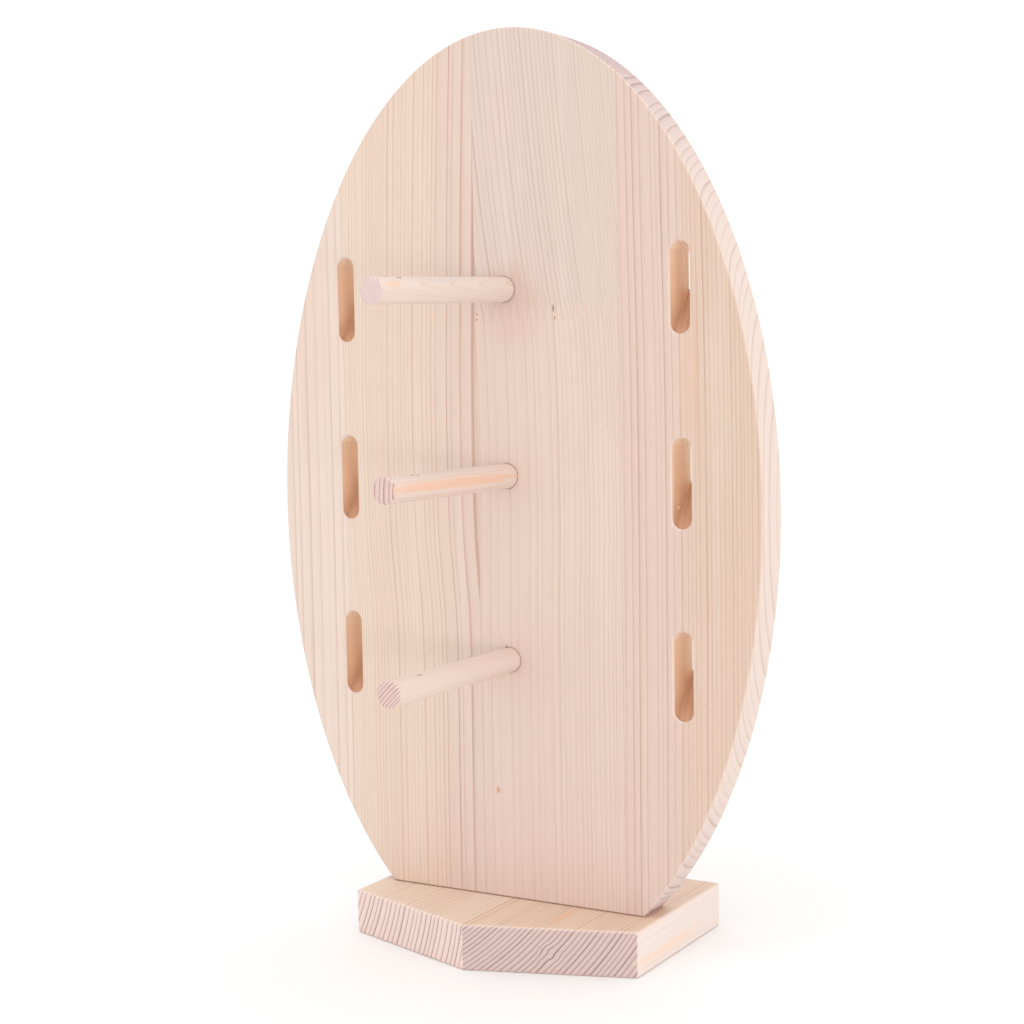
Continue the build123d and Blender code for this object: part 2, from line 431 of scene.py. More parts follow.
def read_years(tree, board):
    """Start the dictionary of one board's patterns with its place, season and year."""
    point = grain_space(tree, board["lies_down"])
    across, _, along = split(tree, point)
    wood = {"point": point, "across": across, "along": along}
    wood["zone"] = scale_to(tree, across, *board["zone"], low=0.0, high=1.0)

    distance = pith_distance(tree, point, board)
    uneven = tree.nodes.new("ShaderNodeTexNoise")
    uneven.noise_dimensions = "1D"
    uneven.inputs["Scale"].default_value = UNEVEN_SCALE
    feed(tree, uneven.inputs["W"], maths(tree, "ADD", distance, UNEVEN_STEP * board["seed"]))
    shift = scale_to(tree, uneven.outputs[0], 0.0, 1.0, low=-board["uneven"], high=board["uneven"])
    years = maths(tree, "ADD", table_curve(tree, distance, growth_table(board), "VECTOR"), shift)
    wood["season"] = maths(tree, "FRACT", years)
    year = tree.nodes.new("ShaderNodeTexWhiteNoise")
    year.noise_dimensions = "1D"
    feed(tree, year.inputs["W"], maths(tree, "ADD", maths(tree, "FLOOR", years), board["seed"]))
    wood["luck"] = year.outputs["Value"]
    return wood


print("a reader for years and seasons ready")

# %% [markdown]
# Finer marks go on top of the rings: long fibre streaks, short dark resin dashes, broad bands and patches
# of colour, and a speckle of open fibre ends. The way a face lies matters too. A face sawn along the fibres
# and one sawn across them look like two different woods, so the surface's own direction is read as well.

# %% Fibres, and the way a face lies
DASH_START, DASH_FULL = 0.66, 0.76
ARRIS_START, ARRIS_FULL = 0.08, 0.22


def read_fibres(tree, board, wood):
    """Add the fine marks of one board."""
    for kind in ("fibre", "dashes", "bands", "patches", "speckle"):
        wood[kind] = grain_noise(tree, wood["point"], kind, board["seed"])
    wood["dashes"] = fade(tree, wood["dashes"], DASH_START, DASH_FULL)


def read_faces(tree, board, wood):
    """Add how steeply the face cuts the fibres, how squarely it faces front, and where an edge is eased."""
    surface = tree.nodes.new("ShaderNodeNewGeometry")
    facing = split(tree, surface.outputs["Normal"])
    grain_axis, face_axis = (1, 2) if board["lies_down"] else (2, 1)
    wood["uphill"] = facing[grain_axis]
    wood["cut"] = fade(tree, maths(tree, "ABSOLUTE", wood["uphill"]), *board["cut_from"])
    wood["square"] = maths(tree, "POWER", facing[face_axis], 2.0)
    corner = maths(tree, "MULTIPLY", wood["square"], maths(tree, "SUBTRACT", 1.0, wood["square"]))
    wood["arris"] = fade(tree, corner, ARRIS_START, ARRIS_FULL)


print("readers for fibres and faces ready")

# %% [markdown]
# The sanded faces, cut along the fibres, show each ring as a long line. First the flesh between the lines
# is mixed from its pale, pink and cream parts, then the late-wood lines are laid on it.

# %% Colour along the grain
LATE_WOOD = [(0.0, 0.0), (0.45, 0.05), (0.7, 0.18), (0.82, 0.5), (0.89, 1.0), (0.95, 0.85), (1.0, 0.0)]
FAINTEST_YEAR = 0.3
DASH_STRENGTH = 0.22
BLUSH = chip(217, 187, 173)
CREAM = chip(219, 200, 180)


def late_wood(tree, wood, board):
    """How strongly the late-wood line shows here, from 0 to 1."""
    profile = ramp(tree, wood["season"], LATE_WOOD)
    vigour = scale_to(tree, wood["luck"], 0.0, 1.0, low=FAINTEST_YEAR, high=1.0)
    fading = grain_noise(tree, wood["point"], "fading", board["seed"])
    fading = scale_to(tree, fading, 0.3, 0.7, low=0.7, high=1.15)
    strength = scale_to(tree, wood["zone"], 0.0, 1.0, *board["line_strength"])
    line = maths(tree, "MULTIPLY", profile, maths(tree, "MULTIPLY", vigour, fading))
    return maths(tree, "MULTIPLY", line, strength, clamp=True)


def flesh_colour(tree, wood, board):
    """The wood between the lines: body colour, with pale bands and with pink and cream patches."""
    pale, body, far_body, _ = board["colours"]
    flesh = blend_colours(tree, wood["zone"], body, far_body)
    flesh = blend_colours(tree, fade(tree, wood["bands"], 0.5, 0.75, high=0.7), flesh, pale)
    flesh = blend_colours(tree, fade(tree, wood["patches"], 0.5, 0.75, high=0.35), flesh, BLUSH)
    flesh = blend_colours(tree, fade(tree, wood["patches"], 0.45, 0.25, high=0.25), flesh, CREAM)
    for (start, end), amount, tint in board["tints"]:
        flesh = blend_colours(tree, fade(tree, wood["across"], start, end, low=amount, high=0.0), flesh, tint)
    return flesh


def long_grain(tree, wood, board):
    """The colour of a face sawn along the fibres; the board's narrow sides have a plainer mix."""
    dark = board["colours"][-1]
    colour = blend_colours(tree, wood["line"], flesh_colour(tree, wood, board), dark)
    colour = blend_colours(tree, maths(tree, "MULTIPLY", wood["dashes"], DASH_STRENGTH), colour, dark)
    for place in board["seams"]:
        colour = seam(tree, wood["point"], colour, place, board["seed"])
    side_line = maths(tree, "MULTIPLY", wood["line"], board["side_strength"])
    side = blend_colours(tree, side_line, *board["side_colours"])
    return blend_colours(tree, fade(tree, wood["square"], 0.5, 0.05), colour, side)


print("long grain ready; a line is darkest at", max(LATE_WOOD, key=lambda stop: stop[1])[0], "of its year")

# %% [markdown]
# A face that cuts the fibres across, such as the front of the base or a peg's tip, drinks in more light and
# shows the rings much more strongly. Its open fibre ends also give it a fine speckle.

# %% Colour across the grain
END_LATE_WOOD = [(0.0, 0.0), (0.45, 0.06), (0.68, 0.25), (0.86, 1.0), (0.94, 0.9), (1.0, 0.0)]


def end_grain(tree, wood, board):
    """The colour of a face sawn across the fibres, and the strength of its ring lines."""
    vigour = scale_to(tree, wood["luck"], 0.0, 1.0, low=0.6, high=1.0)
    line = maths(tree, "MULTIPLY", ramp(tree, wood["season"], END_LATE_WOOD), vigour)
    tone = scale_to(tree, wood["speckle"], 0.25, 0.75, low=0.94, high=1.05)
    ringed = blend_colours(tree, line, *board["end_colours"])
    return blend_colours(tree, 1.0, ringed, tone, mode="MULTIPLY"), line


print("end grain ready, with", len(END_LATE_WOOD), "stops to a year")

# %% [markdown]
# In a slot the cutter runs along the fibres on the two side walls and across them at the round ends. It
# leaves the walls smooth, the sloping floors striped with rings, and the upper ends a little fuzzy. The
# walls are painted warm, as shade and bounce light of the recess, the floors are painted darker as shade,
# and each slot is painted browner low down, as painted shade at its foot.

# %% Colour inside the slots
# painted warm bounce light and shade: the walls inside the slots are more orange than the faces
SLOT_WALL_PAINTED_BOUNCE = chip(243, 211, 180)
SLOT_LINE_PAINTED_BOUNCE = chip(206, 152, 116)
# painted shade: the sloping floors are darker than the walls, and their ring lines darker still
FLOOR_PAINTED_SHADE = chip(214, 172, 142)
FLOOR_LINE_PAINTED_SHADE = chip(176, 126, 98)
FUZZ = chip(250, 232, 212)
# painted shade at the foot of each slot
SLOT_FOOT_PAINTED_SHADE = chip(190, 140, 108)
# paler edges: partly wear, partly painted highlight on the rounded edges
WORN_AND_HIGHLIGHT = chip(230, 211, 199)


def slot_colour_with_painted_light(tree, wood, board, end_line):
    """The colour of a slot's walls and sloping floor, with painted shade and bounce light, and of its fuzzy
    upper end.
    """
    # the slot walls: warm colours that stand in for bounce light and shade inside the recess
    slot_grain_and_painted_light = blend_colours(tree, maths(tree, "MULTIPLY", wood["line"], 0.7), SLOT_WALL_PAINTED_BOUNCE, SLOT_LINE_PAINTED_BOUNCE)
    slot_grain_and_painted_light = blend_colours(tree, maths(tree, "MULTIPLY", wood["speckle"], 0.25), slot_grain_and_painted_light, SLOT_LINE_PAINTED_BOUNCE)
    floors = blend_colours(tree, maths(tree, "MULTIPLY", end_line, 0.45), FLOOR_PAINTED_SHADE, FLOOR_LINE_PAINTED_SHADE)
    # faces turned upwards, the sloping floors, take the painted shade colours
    slot_grain_and_painted_light = blend_colours(tree, fade(tree, wood["uphill"], 0.3, 0.6), slot_grain_and_painted_light, floors)
    fuzz = fade(tree, grain_noise(tree, wood["point"], "fuzz", board["seed"]), 0.48, 0.56)
    fuzz = maths(tree, "MULTIPLY", fuzz, fade(tree, wood["uphill"], -0.15, -0.5, high=0.8))
    return blend_colours(tree, fuzz, slot_grain_and_painted_light, FUZZ)


def lay_slot_painted_light(tree, wood, board, colour, end_line):
    """Lay the slots' colours, with their painted shade and bounce light, over a stave's colour."""
    eased = maths(tree, "MULTIPLY", slot_outline(tree, wood["point"], SLOT_RIM + 0.2), wood["arris"])
    # paler eased rim round each slot: partly wear, partly painted highlight
    colour = blend_colours(tree, maths(tree, "MULTIPLY", eased, 0.2), colour, WORN_AND_HIGHLIGHT)
    slot_grain_and_painted_light = slot_colour_with_painted_light(tree, wood, board, end_line)
    _, upward, _ = slot_place(tree, wood["point"])
    # painted shade: darker towards the foot of each slot
    slot_grain_and_painted_light = blend_colours(tree, fade(tree, upward, start=-4.0, end=-16.0, high=0.5), slot_grain_and_painted_light, SLOT_FOOT_PAINTED_SHADE)
    slot_grain_and_painted_light = blend_colours(tree, fade(tree, upward, start=6.0, end=17.0, high=0.3), slot_grain_and_painted_light, FUZZ)
    return blend_colours(tree, slot_walls(tree, wood["point"]), colour, slot_grain_and_painted_light)


print("slot finish ready for slots", 2 * SLOT_HALF_WIDTH, "mm wide and", 2 * SLOT_HALF_LENGTH, "mm long")

# %% [markdown]
# Now the parts are put together. The edges, which hands and sandpaper round over first, turn paler in
# patches, partly as wear and partly as painted highlight. Slots, painted contact shadows and single marks
# are painted last, because they lie over everything else.

# %% The colour of a piece of pine
def pine_colour(tree, wood, board):
    """All the colours of one piece, and where its edges are rubbed and painted paler as highlight."""
    across_colour, end_line = end_grain(tree, wood, board)
    colour = blend_colours(tree, wood["cut"], long_grain(tree, wood, board), across_colour)
    fibre_tone = scale_to(tree, wood["fibre"], 0.25, 0.75, low=0.965, high=1.03)
    uncut = maths(tree, "SUBTRACT", 1.0, wood["cut"])
    colour = blend_colours(tree, uncut, colour, fibre_tone, mode="MULTIPLY")
    # edges paler in patches: partly wear, partly painted highlight
    patchy = fade(tree, grain_noise(tree, wood["point"], "rubbing", board["seed"]), 0.35, 0.6, 0.45, 0.9)
    rubbed_and_highlit = maths(tree, "MULTIPLY", wood["arris"], patchy)
    colour = blend_colours(tree, maths(tree, "MULTIPLY", rubbed_and_highlit, board["rubbed_and_highlit"]), colour, WORN_AND_HIGHLIGHT)
    if board["has_slots"]:
        colour = lay_slot_painted_light(tree, wood, board, colour, end_line)
    # painted contact shadow: a thin brown band between two heights, where a piece meets another
    for start, end, strength in board["contact_shadow"]:
        colour = blend_colours(tree, fade(tree, wood["along"], start, end, high=strength), colour, SEAM_AND_CONTACT_SHADOW)
    for number, mark in enumerate(board["marks"]):
        colour = spot(tree, wood["point"], colour, mark, board["seed"] + number)
    return colour, rubbed_and_highlit


print("pine colours ready, from long grain, end grain, slots and marks")

# %% [markdown]
# Sanding leaves a satin surface: the hard late wood a touch shinier, the fibres a hair higher and lower,
# the open end grain dull. The relief is a Bump node a tenth of a millimetre high, which is enough for lines
# that are felt more than seen. Real grooves would need millions of faces.

# %% One recipe for all the pine
RELIEF = 0.1 * MM


def satin(tree, wood, rubbed_and_highlit):
    """Roughness: late wood shinier, end grain and rubbed edges duller."""
    rough = scale_to(tree, wood["fibre"], 0.2, 0.8, low=0.5, high=0.62)
    rough = maths(tree, "SUBTRACT", rough, maths(tree, "MULTIPLY", wood["line"], 0.08))
    rough = maths(tree, "MULTIPLY_ADD", wood["cut"], 0.2, rough)
    return maths(tree, "MULTIPLY_ADD", rubbed_and_highlit, 0.08, rough)


def relief(tree, wood):
    """Late wood stands proud, dashes are hollow, and end grain is rough all over."""
    height = maths(tree, "MULTIPLY_ADD", wood["line"], 0.3, maths(tree, "MULTIPLY", wood["fibre"], 0.5))
    height = maths(tree, "MULTIPLY_ADD", wood["dashes"], -0.4, height)
    pores = maths(tree, "MULTIPLY", wood["speckle"], 0.8)
    bump = tree.nodes.new("ShaderNodeBump")
    bump.inputs["Strength"].default_value = 0.35
    bump.inputs["Distance"].default_value = RELIEF
    feed(tree, bump.inputs["Height"], maths(tree, "MULTIPLY_ADD", wood["cut"], pores, height))
    return bump.outputs[0]


def pine(name, board):
    """The material of one piece of pine. `board` says how this piece was cut and how it is coloured."""
    material = bpy.data.materials.new(name)
    material.use_nodes = True
    tree = material.node_tree
    shader = tree.nodes["Principled BSDF"]
    wood = read_years(tree, board)
    read_fibres(tree, board, wood)
    read_faces(tree, board, wood)
    wood["line"] = late_wood(tree, wood, board)
    colour, rubbed_and_highlit = pine_colour(tree, wood, board)
    tree.links.new(colour, shader.inputs["Base Color"])
    tree.links.new(satin(tree, wood, rubbed_and_highlit), shader.inputs["Roughness"])
    tree.links.new(relief(tree, wood), shader.inputs["Normal"])
    shader.inputs["Specular IOR Level"].default_value = 0.3
    print("material", name, "with", len(tree.nodes), "nodes")
    return material


print("pine recipe ready, with a relief of", RELIEF / MM, "mm")

# %% [markdown]
# Each stave is sawn from another place in another tree, and that is what makes an edge-glued board look
# real. The pith's place sets the slope of the rings on the rim, the ring widths set the spacing of the
# lines, and the drift bends the lines along the length, as the trunk bent while it grew. What most pieces
# share is written once, and each piece then lists only what is its own. Where the board meets the base,
# a thin brown line is painted as contact shadow.

# %% What all pieces of pine share
BASE_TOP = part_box("base_left_stave")[1].z / MM
GLUE_LINES = [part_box(piece)[1].x / MM for piece in ("outer_left_stave", "left_stave", "middle_stave_upper")]
print("glue lines in mm:", [round(x, 1) for x in GLUE_LINES])

plain_pine = {
    "lies_down": False,
    "face": FACE_Y,
    "drift": [],
    "uneven": 0.9,
    "swirl": None,
    "zone": (0.0, 1.0),
    "line_strength": (0.8, 0.8),
    "side_colours": (chip(224, 205, 194), chip(190, 158, 142)),
    "side_strength": 0.8,
    "end_colours": (chip(205, 180, 179), chip(144, 112, 108)),
    "cut_from": (0.3, 0.95),
    "tints": [],
    "rubbed_and_highlit": 0.5,
    "has_slots": True,
    "seams": [],
    # painted contact shadow along the board's foot, just above the base
    "contact_shadow": [(BASE_TOP + 0.9, BASE_TOP + 0.25, 0.7)],
    "marks": [],
}


def flaw(place, reach, strength, colour, run):
    """One mark for `spot`: where it is, how far it reaches, how strong it is, and how its edge frays."""
    return {"place": place, "reach": reach, "strength": strength, "colour": colour, "run": run}


def finish_pieces(finishes, shared):
    """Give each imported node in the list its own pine."""
    for piece, finish in finishes.items():
        node = frame["nodes"][piece]
        node.data.materials.clear()
        node.data.materials.append(pine(piece.replace("stave", "pine"), {**plain_pine, **shared, **finish}))


# %% [markdown]
# The two left staves are the quietest. The narrow outer one has wide, even rings. The broad one has tight
# rings on its left and wide ones on its right, and they bend to one side and back on their way up.

# %% The left staves
left_finishes = {
    "outer_left_stave": {
        "seed": 2.0,
        "pith": (-190.0, 30.0),
        "ring_widths": [(-109.0, 4.4), (-92.0, 4.0), (-78.0, 4.0)],
        "colours": (chip(224, 208, 196), chip(220, 201, 188), chip(220, 200, 186), chip(202, 177, 162)),
        "line_strength": (1.2, 1.2),
        "seams": GLUE_LINES[:1],
    },
    "left_stave": {
        "seed": 5.0,
        "pith": (60.0, 46.0),
        "ring_widths": [(-77.0, 1.5), (-62.0, 1.4), (-58.0, 2.0), (-36.0, 2.1), (-29.0, 2.9), (-24.0, 4.4),
                        (-13.0, 4.4)],
        "drift": [(18.0, 0.0), (66.0, 0.0), (118.0, 0.2), (146.0, -1.1), (176.0, -2.7), (206.0, -3.0),
                  (258.0, -2.0), (306.0, -0.6), (364.0, 1.7)],
        "tints": [((-72.0, -58.0), 0.8, chip(219, 200, 183))],
        "zone": (-34.0, -24.0),
        "line_strength": (0.72, 1.35),
        "colours": (chip(222, 200, 186), chip(217, 194, 178), chip(212, 190, 178), chip(184, 147, 127)),
        "seams": GLUE_LINES[:2],
    },
}
finish_pieces(left_finishes, {})

# %% [markdown]
# The middle stave is two pieces, joined end to end by short fingers. They come from two trees, so their
# rings don't meet, and the brown specks at the joint's corners are where the cutter burnt and chipped the
# wood. Both pieces carry the same specks, because each speck lies across the joint.

# %% The middle stave, above and below its finger joint
JOINT_BROWN = chip(150, 112, 92)
# a pinker, darker tone round the top peg's root: partly the wood's own tone, partly painted shadow of the peg
JOINT_BLUSH_AND_SHADOW = chip(203, 172, 158)
JOINT_SPECKS = [
    flaw((x, FACE_Y, z), (wide, 2.0, long), strength=0.85, colour=JOINT_BROWN, run=1.5)
    for x, z, wide, long in ((22.2, 254.2, 0.6, 1.9), (22.9, 250.6, 0.4, 0.9), (-12.4, 252.9, 0.45, 0.5),
                             (-12.6, 250.6, 0.45, 0.5))]

middle_finishes = {
    "middle_stave_upper": {
        "seed": 8.0,
        "pith": (-95.0, 40.0),
        "ring_widths": [(-13.0, 3.0), (2.0, 2.6), (18.0, 2.2), (34.0, 1.6), (50.0, 1.5)],
        "drift": [(240.0, 2.3), (253.0, 0.0), (272.0, -3.2), (306.0, -7.7), (354.0, -12.2), (372.0, -13.6)],
        "zone": (15.0, 40.0),
        "line_strength": (1.1, 0.65),
        "colours": (chip(214, 196, 186), chip(209, 190, 179), chip(208, 190, 177), chip(184, 156, 143)),
        "seams": GLUE_LINES[1:],
        # partly wood tone, partly painted shadow round the top peg's root
        "marks": [flaw((3.0, FACE_Y, 256.0), (15.0, 7.0, 18.0), 0.6, JOINT_BLUSH_AND_SHADOW, run=30.0), *JOINT_SPECKS],
    },
    "middle_stave_lower": {
        "seed": 11.0,
        "pith": (-110.0, 20.0),
        "ring_widths": [(-13.0, 4.4), (14.0, 4.2), (26.0, 2.2), (50.0, 1.8)],
        "drift": [(18.0, 0.3), (130.0, 0.0), (180.0, 0.8), (256.0, -2.5)],
        "zone": (0.0, 50.0),
        "line_strength": (0.85, 1.1),
        "colours": (chip(218, 195, 182), chip(213, 190, 178), chip(213, 190, 177), chip(196, 167, 151)),
        "seams": GLUE_LINES[1:],
        "marks": [flaw((-6.6, FACE_Y, 61.75), (0.9, 2.0, 1.5), 0.75, chip(186, 140, 104), run=1.5),
                  flaw((-1.4, FACE_Y, 120.5), (0.6, 1.5, 1.0), 0.8, chip(150, 112, 84), run=1.5),
                  # the same patch, weaker on the lower piece: partly wood tone, partly painted shadow of the
                  # top peg
                  flaw((3.0, FACE_Y, 254.0), (15.0, 7.0, 16.0), 0.3, JOINT_BLUSH_AND_SHADOW, run=30.0), *JOINT_SPECKS],
    },
}
finish_pieces(middle_finishes, {})

# %% [markdown]
# The right stave's rings are wide at the glue line and tight at the rim, and a warm resin streak runs up
# beside its column of slots. A pale spot on the wall of one slot is a painted highlight.

# %% The right stave
right_finishes = {
    "right_stave": {
        "seed": 14.0,
        "pith": (215.0, 28.0),
        "drift": [(18.0, 0.0), (100.0, 0.5), (190.0, 0.9), (290.0, 0.0), (350.0, -0.9)],
        "ring_widths": [(50.0, 3.5), (64.0, 2.9), (76.0, 2.3), (84.0, 2.0), (90.0, 1.8), (109.0, 1.6)],
        "zone": (70.0, 85.0),
        "line_strength": (1.0, 0.95),
        # painted highlight: a pale spot on the wall of the middle slot
        "marks": [flaw((72.0, -3.0, 177.5), (1.5, 1.6, 0.8), 0.8, chip(250, 232, 214), run=1.5),
                  flaw((83.0, FACE_Y, 232.0), (0.9, 5.0, 44.0), 0.45, chip(204, 160, 138), run=40.0),
                  flaw((79.0, FACE_Y, 226.0), (5.0, 5.0, 24.0), 0.4, chip(214, 178, 158), run=20.0)],
        "colours": (chip(215, 194, 182), chip(211, 187, 175), chip(208, 184, 165), chip(178, 144, 126)),
        "seams": GLUE_LINES[2:],
    },
}
finish_pieces(right_finishes, {})

# %% [markdown]
# The base is two boards laid flat, with the grain from front to back, so its slanted fronts are end grain.
# The same recipe is turned on its side for them. The left board's rings stand steeply and the right
# board's lean over, because they were sawn nearer and further from their piths.

# %% Boards of the base
lying = {
    "lies_down": True,
    "face": -BASE_TOP,
    "has_slots": False,
    "rubbed_and_highlit": 0.35,
    "uneven": 0.4,
    "seams": [0.0],
    "contact_shadow": [],
    "side_colours": (chip(230, 214, 206), chip(222, 196, 180)),
    "side_strength": 0.5,
}
base_finishes = {
    "base_left_stave": {
        "seed": 17.0,
        "pith": (-150.0, -50.0),
        "ring_widths": [(-65.0, 2.8), (-30.0, 2.6), (0.0, 2.5)],
        "line_strength": (0.9, 0.9),
        "colours": (chip(234, 216, 201), chip(229, 209, 192), chip(228, 207, 189), chip(202, 162, 132)),
        "end_colours": (chip(231, 207, 199), chip(154, 123, 117)),
    },
    "base_right_stave": {
        "seed": 20.0,
        "pith": (-60.0, -89.0),
        "ring_widths": [(0.0, 2.2), (30.0, 2.2), (65.0, 2.1)],
        "line_strength": (1.15, 1.15),
        "swirl": {"place": (32.0, -9.0), "reach": 9.0, "push": 1.6},
        "colours": (chip(232, 211, 195), chip(226, 201, 182), chip(226, 201, 182), chip(200, 157, 126)),
        "end_colours": (chip(207, 183, 177), chip(130, 99, 94)),
        "marks": [flaw((64.0, -5.5, 0.0), (3.0, 2.2, 38.0), 0.5, chip(240, 205, 178), run=20.0),
                  flaw((30.0, -18.0, -22.0), (2.5, 2.0, 14.0), 0.6, chip(228, 184, 148), run=20.0)],
    },
}
finish_pieces(base_finishes, lying)

# %% [markdown]
# A dowel is turned or drawn through a round cutter, so it has a small chamfer at its tip, a slightly
# thinner end that is glued in, and here and there a spot where the cutter tore the fibres out. It could be
# a plain cylinder with a good material, but the tears and the chamfer catch the light only if they are
# real. So a circle is extruded along the dowel's own axis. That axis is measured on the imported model, from
# the middle of the glued end to the middle of the tip.

# %% Where each peg starts and ends
END_ZONE = 0.5 * MM


def end_centre(piece, forward):
    """The middle of a peg's flat end: the one at the tip if forward, else the one in the socket."""
    points = [vertex.co for vertex in frame["nodes"][piece].data.vertices]
    ends = [point.y for point in points]
    limit = min(ends) + END_ZONE if forward else max(ends) - END_ZONE
    flat = [point for point in points if (point.y <= limit if forward else point.y >= limit)]
    return Vector([(min(point[i] for point in flat) + max(point[i] for point in flat)) / 2 for i in range(3)])


peg_ends = {}
for piece in ("top_peg", "middle_peg", "bottom_peg"):
    peg_ends[piece] = (end_centre(piece, False), end_centre(piece, True))
    print(piece, [tuple(round(v / MM, 2) for v in end) for end in peg_ends[piece]])

# %% [markdown]
# Operators act on whatever is selected, and a new primitive joins what is selected already. So these small
# moves come first: select one thing only, write its place into its mesh, extrude a face upwards, and cut
# one shape out of another with a Boolean that is applied at once.

# %% Small moves for modelling
SMOOTH_ANGLE = math.radians(35.0)


def select_only(thing):
    """Select one object and nothing else, and make it the active one."""
    bpy.ops.object.select_all(action="DESELECT")
    thing.select_set(True)
    bpy.context.view_layer.objects.active = thing


def settle(thing):
    """Write an object's place, turn and scale into its mesh, so that it sits at the origin."""
    select_only(thing)
    bpy.ops.object.transform_apply(location=True, rotation=True, scale=True)


def extrude_up(height):
    """Extrude the selected face along Z."""
    bpy.ops.mesh.extrude_region_move(TRANSFORM_OT_translate={"value": (0.0, 0.0, height)})


def change_width(factor, height):
    """Widen or narrow the selected face round the Z axis, at the height it is at."""
    bpy.ops.transform.resize(value=(factor, factor, 1.0), center_override=(0.0, 0.0, height))


def close_up():
    """Turn all faces of the mesh outwards and leave edit mode."""
    bpy.ops.mesh.select_all(action="SELECT")
    bpy.ops.mesh.normals_make_consistent(inside=False)
    bpy.ops.object.mode_set(mode="OBJECT")


def cut_away(target, cutter):
    """Take the cutter's shape out of the target with an applied Boolean, and remove the cutter."""
    select_only(target)
    boolean = target.modifiers.new("cut", "BOOLEAN")
    boolean.object = cutter
    boolean.operation = "DIFFERENCE"
    boolean.solver = "EXACT"
    bpy.ops.object.modifier_apply(modifier=boolean.name)
    bpy.data.objects.remove(cutter)


print("modelling moves ready; bends under", round(math.degrees(SMOOTH_ANGLE)), "degrees are shaded smooth")

# %% [markdown]
# A tear is a shallow hollow, longer than it is wide. A round ball would leave a neat dimple, so the ball's
# corners are first moved about a little, then it is stretched along the fibres and sunk into the dowel's
# side. The random move has a fixed seed, so the tears are the same each time.

# %% Torn fibres
PEG_RADIUS = 5.0 * MM
TEAR_CENTRE = PEG_RADIUS + 0.35 * MM
TEAR_RAG = 0.1
TEAR_SEED = 7


def tear(peg, height, turn, size):
    """Cut a shallow, ragged hollow where the cutter lifted the fibres."""
    wide, long, deep = size
    bpy.ops.object.select_all(action="DESELECT")
    bpy.ops.mesh.primitive_ico_sphere_add(subdivisions=3, radius=1.0, location=(0, 0, 0))
    gouge = bpy.context.object
    bpy.ops.object.mode_set(mode="EDIT")
    bpy.ops.mesh.select_all(action="SELECT")
    bpy.ops.transform.vertex_random(offset=TEAR_RAG, uniform=1.0, normal=0.0, seed=TEAR_SEED)
    bpy.ops.object.mode_set(mode="OBJECT")
    gouge.scale = (deep, wide, long)
    gouge.rotation_euler = (0.0, 0.0, turn)
    gouge.location = (TEAR_CENTRE * math.cos(turn), TEAR_CENTRE * math.sin(turn), height)
    bpy.context.view_layer.update()
    cut_away(peg, gouge)


print("tears are sunk from", round(TEAR_CENTRE / MM, 2), "mm off the peg's axis")

# %% [markdown]
# The dowel itself grows from a filled circle at the glued end. The face is extruded to the shoulder,
# widened there, extruded in many short steps, so that the long flanks have faces of a good shape for the
# Booleans, and narrowed at last to make the chamfer.

# %% Extrude, chamfer and tear a dowel
GLUED_RADIUS = 4.75 * MM
SHOULDER = 12.0 * MM
TIP_CHAMFER = 0.6 * MM
SPARE = 0.01 * MM
PEG_SIDES = 72
PEG_STEPS = 40


def dowel(name, start, tip, tears):
    """A torn, chamfered dowel. Each tear is (metres from the tip, degrees up from level, size in metres)."""
    length = (tip - start).length - SPARE
    lean = (tip - start).to_track_quat("Z", "Y").to_matrix().to_4x4()
    bpy.ops.object.select_all(action="DESELECT")
    bpy.ops.mesh.primitive_circle_add(vertices=PEG_SIDES, radius=GLUED_RADIUS, fill_type="NGON",
                                      location=(0, 0, 0))
    peg = bpy.context.object
    peg.name = name
    bpy.ops.object.mode_set(mode="EDIT")
    bpy.ops.mesh.select_all(action="SELECT")
    extrude_up(SHOULDER)
    extrude_up(0.0)
    change_width(PEG_RADIUS / GLUED_RADIUS, SHOULDER)
    for _ in range(PEG_STEPS):
        extrude_up((length - SHOULDER - TIP_CHAMFER) / PEG_STEPS)
    extrude_up(TIP_CHAMFER)
    change_width((PEG_RADIUS - TIP_CHAMFER) / PEG_RADIUS, length)
    close_up()
    for distance, raised, size in tears:
        outward = Vector((math.cos(math.radians(raised)), 0.0, math.sin(math.radians(raised))))
        outward = lean.inverted().to_3x3() @ outward
        tear(peg, length - distance, math.atan2(outward.y, outward.x), size)
    peg.matrix_world = Matrix.Translation(start) @ lean
    settle(peg)
    bpy.ops.object.shade_smooth_by_angle(angle=SMOOTH_ANGLE)
    print(name, "has", len(peg.data.polygons), "faces and is", round(length / MM, 2), "mm long")
    return peg


# %% [markdown]
# The three dowels come from three sticks, so their end grain runs three ways: leaning left on the top one,
# upright on the middle one and leaning right on the bottom one. The middle one has an orange resin streak
# along its flank, and the grey patches along the tops of the top and middle pegs are painted shade. Stains,
# painted shade and tears are listed by their distance from the tip, which is how a maker would find them,
# so two helpers turn those distances into places in the grain's own space.

